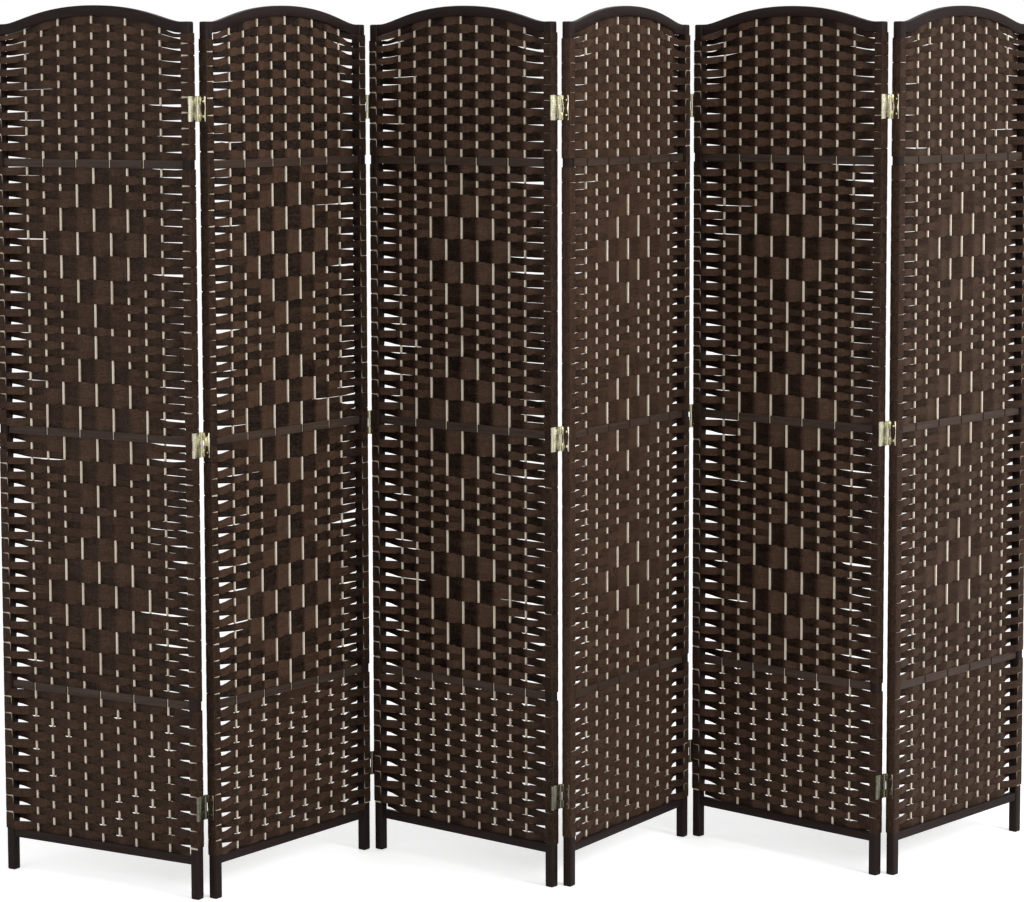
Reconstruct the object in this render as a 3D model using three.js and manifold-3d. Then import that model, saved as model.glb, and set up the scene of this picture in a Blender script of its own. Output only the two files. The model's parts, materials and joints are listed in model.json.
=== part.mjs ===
// A six-panel folding screen. Each panel is a frame of two posts, an arched top rail, a bottom rail and
// two cross rails. Strips are woven across nine upright sticks and wrap the posts, and a batten lies in
// the weave at mid height. Neighbouring panels hang together on three two-way hinges.
// Millimetres, +Z up, the front faces -Y. The origin is on the floor, below the middle of the screen.

import * as THREE from 'three';
import { mergeVertices } from 'three/addons/utils/BufferGeometryUtils.js';
import Module from 'manifold-3d';

const wasm = await Module();
wasm.setup();

// ---- driving dimensions ----

// The screen. A panel's heading is its turn from +X, seen from above, in degrees: minus comes forward.
const foldPitch = 500;
const restHeadings = [-38, 46, -48, 50, -51, 41];
// Panels that hang with their other side to the front.
const reversedPanels = [false, false, false, true, false, true];

// Posts
const postHeight = 1755;
const postSide = 19;
const postCornerRadius = 2.5;
const footBevel = 1.5;

// Arched top rail. Its outline is level beside the posts and then climbs to the crown.
const crownRise = 35;
const shoulderLength = 5;
const topRailThickness = 15;
const topRailEndDepth = 22;
const topRailCrownDepth = 21;
const topSocketDepth = 8;
// How far the arch's curve keeps its level at its foot and at the crown, as shares of its half length.
const archFootShare = 0.16;
const archCrownShare = 0.59;

// Bottom rail
const legLength = 70;
const bottomRailHeight = 18;
const bottomRailThickness = 15;
const bottomSocketDepth = 12;

// Cross rails and the batten. The lower rail's centre and the batten's are set from the floor, and the
// upper rail's is set down from the post tops.
const lowerRailLevel = 393;
const battenLevel = 926;
const upperRailDrop = 281;
const crossRailHeight = 17;
const crossRailThickness = 9;

// Sticks
const stickCount = 9;
const stickPitch = 42.5;
const stickSide = 4;

// Weave
const weaveThickness = 8;
const wrapThickness = 1;

// Hinges, by the heights of their middles. The upper one is set down from the post tops.
const lowerHingeLevel = 187;
const middleHingeLevel = 919;
const upperHingeDrop = 171;
const hingeHeight = 50;
const leafThickness = 1.8;
const leafBite = 0.5;
const linkThickness = 1.8;
const pinRadius = 1.2;

// Clearances
const seatGap = 0.3;
const plateClearance = 1.3;
const foldClearance = 1.7;
const knuckleClearance = 0.7;
const windowClearance = 0.5;

// ---- sizes that follow ----

// The wood of two neighbours stands apart by the two leaves, the link between them and its clearances.
const jointGap = 2 * leafThickness + linkThickness + 2 * plateClearance;
const postCentre = foldPitch / 2 - jointGap / 2 - postSide / 2;
const postInnerFace = postCentre - postSide / 2;
const postOuterFace = postCentre + postSide / 2;
const wrapInner = postSide / 2 + seatGap;
const wrapOuter = wrapInner + wrapThickness;
// Each pivot stands proud of the wrapped post, so that two panels fold flat against each other.
const pivotOffset = wrapOuter + foldClearance;
const knuckleRadius = jointGap / 2 - leafThickness * 2 / 3;
const knuckleLength = hingeHeight / 3;
const pinInset = knuckleLength / 2;
const leafHalfWidth = postSide / 2 - postCornerRadius;
const linkHalfWidth = pivotOffset - knuckleRadius - knuckleClearance;
const crownHeight = postHeight + crownRise;
const upperRailLevel = postHeight - upperRailDrop;
const hingeLevels = [lowerHingeLevel, middleHingeLevel, postHeight - upperHingeDrop];
const bottomRailTop = legLength + bottomRailHeight;
const railHalfLength = postInnerFace - seatGap;
const socketHalfSide = stickSide / 2 + seatGap;
const knuckleSides = 8;
const pinSides = 6;
const archSteps = 7;
const cornerSteps = 1;

// ---- solids ----

/** A closed geometry as a solid that can be joined and cut. */
function solidOf(geometry) {
  geometry.deleteAttribute('normal');
  geometry.deleteAttribute('uv');
  const merged = mergeVertices(geometry, 1e-4);
  return new wasm.Manifold(new wasm.Mesh({
    numProp: 3,
    vertProperties: new Float32Array(merged.attributes.position.array),
    triVerts: new Uint32Array(merged.index.array),
  }));
}

/** A solid's surface as a geometry. */
function geometryOf(solid) {
  const surface = solid.getMesh();
  const geometry = new THREE.BufferGeometry();
  geometry.setAttribute('position', new THREE.BufferAttribute(surface.vertProperties, 3));
  geometry.setIndex(new THREE.BufferAttribute(surface.triVerts, 1));
  geometry.computeVertexNormals();
  return geometry;
}

/** Several solids as one. */
function joined(solids) {
  return solids.reduce((whole, next) => whole.add(next));
}

/** A solid with others cut from it. */
function cut(whole, cutters) {
  return cutters.reduce((rest, cutter) => rest.subtract(cutter), whole);
}

/** A block between two limits along each axis. */
function block([x0, x1], [y0, y1], [z0, z1]) {
  const low = new THREE.Vector3(Math.min(x0, x1), Math.min(y0, y1), Math.min(z0, z1));
  const high = new THREE.Vector3(Math.max(x0, x1), Math.max(y0, y1), Math.max(z0, z1));
  const size = high.clone().sub(low);
  const centre = low.clone().add(high).multiplyScalar(0.5);
  return solidOf(new THREE.BoxGeometry(size.x, size.y, size.z).translate(centre.x, centre.y, centre.z));
}

/** An upright round bar. */
function bar(x, y, [z0, z1], radius, sides) {
  const geometry = new THREE.CylinderGeometry(radius, radius, z1 - z0, sides);
  return solidOf(geometry.rotateX(Math.PI / 2).translate(x, y, (z0 + z1) / 2));
}

/** A plan outline raised between two heights. */
function raised(shape, [z0, z1]) {
  const geometry = new THREE.ExtrudeGeometry(shape, { depth: z1 - z0, bevelEnabled: false });
  return solidOf(geometry.translate(0, 0, z0));
}

/** An outline drawn as seen from the front, given a thickness about the panel's middle plane. */
function upright(shape, thickness) {
  const geometry = new THREE.ExtrudeGeometry(
    shape,
    { depth: thickness, bevelEnabled: false, curveSegments: archSteps },
  );
  return solidOf(geometry.rotateX(Math.PI / 2).translate(0, thickness / 2, 0));
}

/** The sticks' places across a panel. */
function stickPlaces() {
  return Array.from({ length: stickCount }, (_, n) => (n - (stickCount - 1) / 2) * stickPitch);
}

// ---- the arch ----

/** Adds the arch's outline to a shape, from the left end to the right, at a depth below the outline. */
function traceArch(shape, halfLength, endDepth, crownDepth) {
  const start = railHalfLength - shoulderLength;
  const endLevel = postHeight - endDepth;
  const crownLevel = crownHeight - crownDepth;
  const foot = start * archFootShare;
  const crown = start * archCrownShare;
  shape.lineTo(-halfLength, endLevel);
  shape.lineTo(-start, endLevel);
  shape.bezierCurveTo(-start + foot, endLevel, -crown, crownLevel, 0, crownLevel);
  shape.bezierCurveTo(crown, crownLevel, start - foot, endLevel, start, endLevel);
  shape.lineTo(halfLength, endLevel);
}

/** Everything below the arch's underside, with a gap left under it. */
function spaceBelowArch() {
  const reach = foldPitch / 2;
  const shape = new THREE.Shape();
  shape.moveTo(reach, legLength);
  shape.lineTo(-reach, legLength);
  traceArch(shape, reach, topRailEndDepth + seatGap, topRailCrownDepth + seatGap);
  return upright(shape, foldPitch);
}

function topRail() {
  const outer = new THREE.Shape();
  outer.moveTo(railHalfLength, postHeight - topRailEndDepth);
  outer.lineTo(-railHalfLength, postHeight - topRailEndDepth);
  traceArch(outer, railHalfLength, 0, 0);
  const inner = new THREE.Shape();
  inner.moveTo(foldPitch, 0);
  inner.lineTo(-foldPitch, 0);
  traceArch(inner, foldPitch, topRailEndDepth, topRailCrownDepth);
  const rail = upright(outer, topRailThickness).subtract(upright(inner, foldPitch));
  return cut(rail, stickPlaces().map((x) => block(
    [x - socketHalfSide, x + socketHalfSide],
    [-socketHalfSide, socketHalfSide],
    [bottomRailTop, stickTop(x) + seatGap],
  )));
}

// ---- frame and weave ----

/** The height of a stick's top end, inside its socket in the top rail. */
function stickTop(x) {
  const underside = new THREE.Shape();
  underside.moveTo(-foldPitch, 0);
  traceArch(underside, foldPitch, topRailEndDepth, topRailCrownDepth);
  const points = underside.getPoints(archSteps);
  const after = points.findIndex((point, n) => n > 1 && point.x >= x);
  const [a, b] = [points[after - 1], points[after]];
  return a.y + (b.y - a.y) * (x - a.x) / (b.x - a.x) + topSocketDepth - seatGap;
}

/** One leaf of a hinge, its two knuckles and its pin, on the outer edge of a post. */
function hingeLeaf(side, pivotSide, level) {
  const face = side * postSide / 2;
  const pivotX = face + side * jointGap / 2;
  const pivotY = pivotSide * pivotOffset;
  const bottom = level - hingeHeight / 2;
  const top = level + hingeHeight / 2;
  const plateX = [face - side * leafBite, face + side * leafThickness];
  const knuckles = [[bottom, bottom + knuckleLength - seatGap], [top - knuckleLength + seatGap, top]];
  return joined([
    block(plateX, [-leafHalfWidth, leafHalfWidth], [bottom, top]),
    ...knuckles.map((span) => block(plateX, [pivotSide * (leafHalfWidth - leafBite), pivotY], span)),
    ...knuckles.map((span) => bar(pivotX, pivotY, span, knuckleRadius, knuckleSides)),
    bar(pivotX, pivotY, [bottom + pinInset, top - pinInset], pinRadius, pinSides),
  ]);
}

/** A post, with the leaves of its hinges where it meets another panel. */
function post(side, hinged) {
  const flat = postSide / 2 - footBevel;
  const radius = postCornerRadius - footBevel;
  const shape = new THREE.Shape();
  for (const [x, y, start] of [[1, 1, 0], [-1, 1, 1], [-1, -1, 2], [1, -1, 3]]) {
    const from = start * Math.PI / 2;
    shape.absarc(x * (flat - radius), y * (flat - radius), radius, from, from + Math.PI / 2);
  }
  const geometry = new THREE.ExtrudeGeometry(shape, {
    depth: postHeight - 2 * footBevel,
    curveSegments: cornerSteps,
    bevelThickness: footBevel,
    bevelSize: footBevel,
    bevelSegments: 1,
  });
  const wood = solidOf(geometry.translate(0, 0, footBevel));
  if (!hinged) {
    return wood;
  }
  return joined([wood, ...hingeLevels.map((level) => hingeLeaf(side, -side, level))]);
}

function bottomRail() {
  const rail = block(
    [-railHalfLength, railHalfLength],
    [-bottomRailThickness / 2, bottomRailThickness / 2],
    [legLength, bottomRailTop],
  );
  return cut(rail, stickPlaces().map((x) => block(
    [x - socketHalfSide, x + socketHalfSide],
    [-socketHalfSide, socketHalfSide],
    [bottomRailTop - bottomSocketDepth, bottomRailTop + seatGap],
  )));
}

/** A cross rail. The sticks lie in slots that open to the front and to the back in turn. */
function crossRail(level, firstSlotSide) {
  const half = crossRailThickness / 2;
  const slots = stickPlaces().map((x, n) => ({ x, side: n % 2 ? -firstSlotSide : firstSlotSide }));
  const shape = new THREE.Shape();
  shape.moveTo(-railHalfLength, -half);
  for (const { x } of slots.filter(({ side }) => side < 0)) {
    shape.lineTo(x - socketHalfSide, -half);
    shape.lineTo(x - socketHalfSide, socketHalfSide);
    shape.lineTo(x + socketHalfSide, socketHalfSide);
    shape.lineTo(x + socketHalfSide, -half);
  }
  shape.lineTo(railHalfLength, -half);
  shape.lineTo(railHalfLength, half);
  for (const { x } of slots.filter(({ side }) => side > 0).reverse()) {
    shape.lineTo(x + socketHalfSide, half);
    shape.lineTo(x + socketHalfSide, -socketHalfSide);
    shape.lineTo(x - socketHalfSide, -socketHalfSide);
    shape.lineTo(x - socketHalfSide, half);
  }
  shape.lineTo(-railHalfLength, half);
  return raised(shape, [level - crossRailHeight / 2, level + crossRailHeight / 2]);
}

/** One stretch of weave between two heights: the web across the sticks and the wraps round both posts. */
function weaveStretch(span) {
  const half = weaveThickness / 2;
  const inner = postCentre - wrapOuter;
  const outer = postCentre + wrapOuter;
  const shape = new THREE.Shape([
    [-outer, -wrapOuter], [-inner, -wrapOuter], [-inner, -half], [inner, -half],
    [inner, -wrapOuter], [outer, -wrapOuter], [outer, wrapOuter], [inner, wrapOuter],
    [inner, half], [-inner, half], [-inner, wrapOuter], [-outer, wrapOuter],
  ].map(([x, y]) => new THREE.Vector2(x, y)));
  for (const side of [-1, 1]) {
    const low = side * postCentre - wrapInner;
    const high = side * postCentre + wrapInner;
    shape.holes.push(new THREE.Path([
      [low, -wrapInner], [low, wrapInner], [high, wrapInner], [high, -wrapInner],
    ].map(([x, y]) => new THREE.Vector2(x, y))));
  }
  return raised(shape, span);
}

/** The openings that the wraps leave round the hinges on one side of a panel. */
function hingeWindows(side) {
  return hingeLevels.map((level) => block(
    [side * (postOuterFace - leafBite - windowClearance), side * foldPitch / 2],
    [-pivotOffset, pivotOffset],
    [level - hingeHeight / 2 - windowClearance, level + hingeHeight / 2 + windowClearance],
  ));
}

/** The weave with its sticks and the batten at mid height. */
function infill(hingedSides) {
  const railHalf = crossRailHeight / 2 + seatGap;
  const stretches = joined([
    weaveStretch([bottomRailTop + seatGap, lowerRailLevel - railHalf]),
    weaveStretch([lowerRailLevel + railHalf, upperRailLevel - railHalf]),
    weaveStretch([upperRailLevel + railHalf, crownHeight]).intersect(spaceBelowArch()),
  ]);
  const batten = block(
    [-postInnerFace + wrapOuter, postInnerFace - wrapOuter],
    [-crossRailThickness / 2, crossRailThickness / 2],
    [battenLevel - crossRailHeight / 2, battenLevel + crossRailHeight / 2],
  );
  const sticks = stickPlaces().map((x) => block(
    [x - stickSide / 2, x + stickSide / 2],
    [-stickSide / 2, stickSide / 2],
    [bottomRailTop - bottomSocketDepth + seatGap, stickTop(x)],
  ));
  const windows = hingedSides.flatMap(hingeWindows);
  return joined([cut(stretches, windows), batten, ...sticks]);
}

/** A hinge's middle plate, with a knuckle at each edge that turns on the pin of one leaf. */
function hingeLink(level) {
  const span = [level - knuckleLength / 2, level + knuckleLength / 2];
  const plateX = [-linkThickness / 2, linkThickness / 2];
  const plate = block(
    plateX,
    [-linkHalfWidth, linkHalfWidth],
    [level - hingeHeight / 2, level + hingeHeight / 2],
  );
  const tongue = block(plateX, [-pivotOffset, pivotOffset], span);
  const ends = [-pivotOffset, pivotOffset];
  const knuckles = ends.map((y) => bar(0, y, span, knuckleRadius, knuckleSides));
  const bores = ends.map((y) => bar(
    0,
    y,
    [level - hingeHeight, level + hingeHeight],
    pinRadius + seatGap,
    pinSides,
  ));
  return cut(joined([plate, tongue, ...knuckles]), bores);
}

// ---- assembly ----

const finishes = {
  post: { color: 0x2a2120, roughness: 0.55, metalness: 0 },
  rail: { color: 0x2e2421, roughness: 0.5, metalness: 0 },
  weave: { color: 0x4b3e36, roughness: 0.8, metalness: 0 },
  brass: { color: 0xc9b56a, roughness: 0.35, metalness: 1 },
};

function piece(name, solid, finish) {
  const mesh = new THREE.Mesh(geometryOf(solid), new THREE.MeshStandardMaterial(finishes[finish]));
  mesh.name = name;
  return mesh;
}

/** A point given in a panel's or a link's own axes, as an offset in the screen's axes. */
function turned(x, y, heading) {
  return new THREE.Vector2(x, y).rotateAround(new THREE.Vector2(), THREE.MathUtils.degToRad(heading));
}

function placed(group, point, heading) {
  group.position.set(point.x, point.y, 0);
  group.rotation.z = THREE.MathUtils.degToRad(heading);
  return group;
}

/** One panel, built about its own middle. */
function panel(number, isFirst, isLast) {
  const name = `panel_${number}`;
  const facing = reversedPanels[number - 1] ? -1 : 1;
  const hingedSides = [...(isFirst ? [] : [-1]), ...(isLast ? [] : [1])];
  const group = new THREE.Group();
  const leftPost = piece(`${name}_left_post`, post(-1, !isFirst), 'post');
  const rightPost = piece(`${name}_right_post`, post(1, !isLast), 'post');
  leftPost.position.x = -postCentre;
  rightPost.position.x = postCentre;
  group.add(
    leftPost,
    rightPost,
    piece(`${name}_top_rail`, topRail(), 'rail'),
    piece(`${name}_bottom_rail`, bottomRail(), 'rail'),
    piece(`${name}_lower_rail`, crossRail(lowerRailLevel, -facing), 'rail'),
    piece(`${name}_upper_rail`, crossRail(upperRailLevel, facing), 'rail'),
    piece(`${name}_woven_infill`, infill(hingedSides), 'weave'),
  );
  return group;
}

/** The three links of one joint. */
function jointLinks(number) {
  const group = new THREE.Group();
  const places = ['lower', 'middle', 'upper'];
  for (const [n, level] of hingeLevels.entries()) {
    group.add(piece(`joint_${number}_${places[n]}_hinge_link`, hingeLink(level), 'brass'));
  }
  return group;
}

const screen = new THREE.Group();
const last = restHeadings.length;
let leftEnd = new THREE.Vector2();
for (const [n, heading] of restHeadings.entries()) {
  const number = n + 1;
  const middle = leftEnd.clone().add(turned(foldPitch / 2, 0, heading));
  screen.add(placed(panel(number, number === 1, number === last), middle, heading));
  if (number === last) {
    break;
  }
  // A fold towards the back opens the back pivot, and the link stays flat on this panel's leaf. A fold
  // towards the front opens the front pivot, and the link lies on the next panel's leaf.
  const nextHeading = restHeadings[n + 1];
  const linkHeading = nextHeading > heading ? heading : nextHeading;
  const rightEnd = leftEnd.clone().add(turned(foldPitch, 0, heading));
  const frontPivot = rightEnd.clone().add(turned(0, -pivotOffset, heading));
  const linkMiddle = frontPivot.clone().add(turned(0, pivotOffset, linkHeading));
  const backPivot = frontPivot.clone().add(turned(0, 2 * pivotOffset, linkHeading));
  screen.add(placed(jointLinks(number), linkMiddle, linkHeading));
  leftEnd = backPivot.add(turned(0, -pivotOffset, nextHeading));
}

const reach = new THREE.Box3().setFromObject(screen);
const centre = reach.getCenter(new THREE.Vector3());
screen.children.forEach((child) => child.position.sub(new THREE.Vector3(centre.x, centre.y, 0)));

export default screen;
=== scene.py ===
"""Looks of a six-panel woven folding screen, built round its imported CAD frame.

Lengths are in metres unless a name says otherwise. A panel's own axes have x along the panel, y from its
front face to its back face and z up, about the middle of its foot line.
"""
import json
import math

import bmesh
import bpy
import numpy as np
from mathutils import Matrix, Vector


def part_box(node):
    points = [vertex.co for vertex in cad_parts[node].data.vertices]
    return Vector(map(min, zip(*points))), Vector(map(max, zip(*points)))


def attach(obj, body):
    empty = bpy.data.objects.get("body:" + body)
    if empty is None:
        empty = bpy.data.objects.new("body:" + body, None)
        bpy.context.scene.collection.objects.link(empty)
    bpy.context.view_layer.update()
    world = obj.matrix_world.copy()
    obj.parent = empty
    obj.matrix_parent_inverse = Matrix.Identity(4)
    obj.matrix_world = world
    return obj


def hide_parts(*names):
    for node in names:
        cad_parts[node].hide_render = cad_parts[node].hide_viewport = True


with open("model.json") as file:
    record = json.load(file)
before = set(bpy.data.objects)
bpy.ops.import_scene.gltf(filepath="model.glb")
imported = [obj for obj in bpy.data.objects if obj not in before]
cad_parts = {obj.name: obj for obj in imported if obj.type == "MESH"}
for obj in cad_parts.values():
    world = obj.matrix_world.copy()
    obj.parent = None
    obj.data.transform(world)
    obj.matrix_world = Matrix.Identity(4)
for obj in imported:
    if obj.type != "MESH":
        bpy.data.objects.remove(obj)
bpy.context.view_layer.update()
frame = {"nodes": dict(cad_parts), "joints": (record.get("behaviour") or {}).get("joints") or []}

bl_info = {
    "name": "Woven folding screen",
    "version": (1, 0, 0),
    "blender": (4, 5, 0),
    "location": "View3D > Sidebar > Screen",
    "description": "Posts, rails, sticks, weave and hinges of a folding screen, with a plain studio",
    "category": "Object",
}

MM = 0.001
# Two coordinates closer than this are the same.
SAME = 1e-6

PANEL_NUMBERS = range(1, 7)
JOINT_NUMBERS = range(1, 6)
REVERSED_PANELS = (4, 6)
HINGE_PLACES = ("lower", "middle", "upper")


# ---- where the frame stands ----

def node_corners(node):
    """The different corner points of a CAD node."""
    points = np.array([v.co for v in frame["nodes"][node].data.vertices], float)
    return np.unique(np.round(points, 5), axis=0)


def panel_place(number):
    """The middle of a panel in plan and the direction of its length, from its bottom rail."""
    corners = node_corners(f"panel_{number}_bottom_rail")[:, :2]
    middle = (corners.min(0) + corners.max(0)) / 2
    spread = corners - middle
    direction = np.linalg.eigh(spread.T @ spread)[1][:, -1]
    return middle, direction * math.copysign(1, direction[0])


def link_place(number):
    """The middle of a joint's links in plan and the direction across them."""
    pivots = {j["name"]: np.array(j["pos_m"][:2]) for j in frame["joints"]}
    front = pivots[f"joint_{number}_front_pivot"]
    back = pivots[f"joint_{number}_back_pivot"]
    depth = (back - front) / np.linalg.norm(back - front)
    return (front + back) / 2, np.array([depth[1], -depth[0]])


PANEL_PLACES = {n: panel_place(n) for n in PANEL_NUMBERS}
LINK_PLACES = {n: link_place(n) for n in JOINT_NUMBERS}


def put(points, place):
    """Points in a panel's or a link's own axes, moved to where it stands."""
    middle, (c, s) = place
    points = np.asarray(points, float)
    x, y = points[..., 0], points[..., 1]
    return np.stack([middle[0] + x * c - y * s, middle[1] + x * s + y * c, points[..., 2]], axis=-1)


def turn(vectors, place):
    """Directions in a panel's own axes, turned to the screen's axes."""
    return put(vectors, (np.zeros(2), place[1]))


def level_span(node):
    """The lowest and highest level of a CAD node."""
    low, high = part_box(node)
    return low.z, high.z


RAIL_LEVELS = {
    kind: level_span(f"panel_1_{kind}") for kind in ("bottom_rail", "lower_rail", "upper_rail", "top_rail")
}
POST_HEIGHT = level_span("panel_1_left_post")[1]
CROWN_HEIGHT = RAIL_LEVELS["top_rail"][1]
TOP_RAIL_ENDS = RAIL_LEVELS["top_rail"][0]
HINGE_LEVELS = {p: sum(level_span(f"joint_1_{p}_hinge_link")) / 2 for p in HINGE_PLACES}
HINGE_HEIGHT = np.ptp(level_span("joint_1_lower_hinge_link"))
BATTEN_LEVEL = 926 * MM
BATTEN_HEIGHT = 17 * MM

# The arch of the top rail, as the CAD draws it: short level shoulders, then one smooth rise to the crown.
SHOULDER_START = 221.7 * MM
ARCH_FOOT_SHARE = 0.16
ARCH_CROWN_SHARE = 0.59
TOP_RAIL_CROWN_DEPTH = 21 * MM


def arch_curve(end_level, crown_level):
    """A function that gives the level of an arched edge at any x."""
    t = np.linspace(0, 1, 200)[:, None]
    start, reach = -SHOULDER_START, SHOULDER_START
    ends = np.array([
        [start, end_level],
        [start + reach * ARCH_FOOT_SHARE, end_level],
        [-reach * ARCH_CROWN_SHARE, crown_level],
        [0, crown_level],
    ])
    points = (
        (1 - t) ** 3 * ends[0] + 3 * (1 - t) ** 2 * t * ends[1]
        + 3 * (1 - t) * t ** 2 * ends[2] + t ** 3 * ends[3]
    )
    return lambda x: np.interp(-np.abs(x), points[:, 0], points[:, 1])


ARCH_TOP = arch_curve(POST_HEIGHT, CROWN_HEIGHT)
ARCH_UNDERSIDE = arch_curve(TOP_RAIL_ENDS, CROWN_HEIGHT - TOP_RAIL_CROWN_DEPTH)


# ---- sizes and colours that a user may change ----

def length(name, default, description):
    """A length in metres."""
    return bpy.props.FloatProperty(
        name=name, description=description, default=default,
        min=0, precision=4, subtype="DISTANCE", unit="LENGTH",
    )


def colour(name, default, description):
    """A colour in linear light."""
    return bpy.props.FloatVectorProperty(
        name=name, description=description, default=default, size=3, min=0, max=1, subtype="COLOR",
    )


class ScreenFrame(bpy.types.PropertyGroup):
    """Sizes of the wooden frame"""

    post_centre: length("Post centre", 236.5 * MM, "Distance of a post's middle from the panel's middle")
    post_side: length("Post side", 19 * MM, "Side of a post's square section")
    post_corner: length("Post corner", 2.5 * MM, "Radius of a post's long edges")
    post_end: length("Post end", 3 * MM, "Rounding of a post's two ends")
    rail_thickness: length("Rail thickness", 15 * MM, "Thickness of the top and bottom rails")
    rail_half_length: length("Rail half length", 226.7 * MM, "Half of a rail's length between the posts")
    rail_round: length("Rail rounding", 2.2 * MM, "Rounding of a rail's long edges")
    cross_rail_thickness: length("Cross rail thickness", 9 * MM, "Thickness of a cross rail and the batten")
    cross_rail_round: length("Cross rail rounding", 1.2 * MM, "Rounding of a cross rail's edges")
    stain: colour("Stain", (0.0135, 0.0082, 0.0074), "Dark stain on the posts and rails")
    stain_light: colour("Light stain", (0.026, 0.0170, 0.0152), "Stain where the grain takes less of it")
    rail_stain: colour("Rail stain", (0.036, 0.0235, 0.0180), "Browner stain on the cross rails and battens")
    rail_stain_light: colour("Light rail stain", (0.070, 0.048, 0.037), "The same where the grain is lighter")


class ScreenSticks(bpy.types.PropertyGroup):
    """Sizes of the upright sticks"""

    count: bpy.props.IntProperty(name="Count", description="Sticks in one panel", default=9, min=1)
    pitch: length("Pitch", 42.5 * MM, "Distance between two sticks")
    side: length("Side", 4 * MM, "Side of a stick's square section")
    wood: colour("Wood", (0.66, 0.59, 0.48), "Pale natural wood")
    wood_dark: colour("Grain", (0.52, 0.43, 0.32), "Darker grain of the natural wood")


class ScreenWeave(bpy.types.PropertyGroup):
    """Sizes and colours of the woven strips"""

    strip_thickness: length("Strip thickness", 1.1 * MM, "Thickness of a strip at its middle")
    overlap: length("Overlap", 1.7 * MM, "How far a row laps over the next")
    post_room: length("Post room", 0.4 * MM, "Gap between a wrap and the post")
    wedge: length("Wedge", 5.2 * MM, "How far a strip's edge draws in beside a post")
    slit: length("Slit", 2.6 * MM, "Half of the widest slit between two loops on a post's face")
    corner: length("Wrap corner", 1.3 * MM, "Inner radius of a wrap at a post's edges")
    bulge: length("Bulge", 0.7 * MM, "How far a wrap stands off the post's outer face")
    fibre: colour("Fibre", (0.021, 0.0105, 0.0062), "Dark paper fibre")
    fibre_light: colour("Light fibre", (0.058, 0.0335, 0.0220), "Fibre that caught less dye")
    seed: bpy.props.IntProperty(name="Seed", description="Seed of the strips' small unevenness", default=7)


class ScreenHinges(bpy.types.PropertyGroup):
    """Sizes and colours of the hinges"""

    leaf_thickness: length("Leaf thickness", 1.8 * MM, "Thickness of a leaf")
    leaf_bite: length("Leaf bite", 0.5 * MM, "Depth that a leaf is let into its post")
    leaf_half_width: length("Leaf half width", 7 * MM, "Half of a leaf's width")
    link_half_width: length("Link half width", 9 * MM, "Half of the width of the plate between two leaves")
    pivot_offset: length("Pivot offset", 12.5 * MM, "Distance of a pivot from the panel's middle plane")
    knuckle_radius: length("Knuckle radius", 2.8 * MM, "Radius of a knuckle")
    pin_radius: length("Pin radius", 1.2 * MM, "Radius of a hinge pin")
    joint_gap: length("Joint gap", 8 * MM, "Gap between the posts of two panels")
    screw_radius: length("Screw radius", 2.6 * MM, "Radius of a screw's head")
    brass: colour("Brass", (0.74, 0.70, 0.53), "Lightly polished brass")
    brass_dull: colour("Dull brass", (0.36, 0.34, 0.22), "Brass where it has dulled")


class ScreenStudio(bpy.types.PropertyGroup):
    """The floor, the lamps and the camera"""

    floor: colour("Floor", (0.93, 0.93, 0.93), "Pale floor")
    key_power: bpy.props.FloatProperty(name="Key light", description="Power in watts", default=210, min=0)
    fill_power: bpy.props.FloatProperty(name="Fill light", description="Power in watts", default=40, min=0)
    surround: bpy.props.FloatProperty(name="Surround", description="Strength of the even light", default=0.62)


# ---- meshes ----

def line_object(name, points, edges, faces=(), **attributes):
    """A new object at the origin. Attributes are one number or one vector a point."""
    mesh = bpy.data.meshes.new(name)
    mesh.from_pydata([tuple(p) for p in points], edges, [tuple(f) for f in faces])
    for key, values in attributes.items():
        values = np.asarray(values, np.float32)
        kind, part = ("FLOAT", "value") if values.ndim == 1 else ("FLOAT_VECTOR", "vector")
        mesh.attributes.new(key, kind, "POINT").data.foreach_set(part, values.ravel())
    piece = bpy.data.objects.new(name, mesh)
    bpy.context.scene.collection.objects.link(piece)
    return piece


def mesh_object(name, points, faces, finish, **attributes):
    """A new object with faces and a finish."""
    piece = line_object(name, points, [], faces, **attributes)
    piece.data.materials.append(finish)
    piece.data.validate()
    return piece


class Build:
    """Collects the points and faces of one piece of several bodies."""

    def __init__(self):
        self.points, self.faces, self.total = [], [], 0

    def add(self, points, faces):
        self.faces += [tuple(i + self.total for i in face) for face in faces]
        self.points.append(points)
        self.total += len(points)

    def piece(self, name, finish, place):
        return mesh_object(name, put(np.concatenate(self.points), place), self.faces, finish)


def swept(rings):
    """Faces of a closed tube through rings of the same length, with flat ends. Rings run anticlockwise as
    seen from the far end."""
    rings = np.asarray(rings, float)
    count, around = rings.shape[:2]
    faces = []
    for i in range(count - 1):
        ring, following = i * around, (i + 1) * around
        for j in range(around):
            beside = (j + 1) % around
            faces.append((ring + j, ring + beside, following + beside, following + j))
    faces.append(tuple(range(around))[::-1])
    faces.append(tuple((count - 1) * around + j for j in range(around)))
    return rings.reshape(-1, 3), faces


def round_corners(half_a, half_b, radius, steps):
    """A rectangle with rounded corners, anticlockwise, as points (a, b)."""
    angles = np.linspace(0, math.pi / 2, steps + 1)
    points = []
    for quarter, (a, b) in enumerate(((1, 1), (-1, 1), (-1, -1), (1, -1))):
        for angle in angles + quarter * math.pi / 2:
            points.append((
                a * (half_a - radius) + radius * math.cos(angle),
                b * (half_b - radius) + radius * math.sin(angle),
            ))
    return np.array(points)


def shade(piece, sharp_degrees=40):
    """Smooth shading that keeps the edges sharper than an angle."""
    piece.data.shade_smooth()
    piece.data.set_sharp_from_angle(angle=math.radians(sharp_degrees))
    return piece


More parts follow.
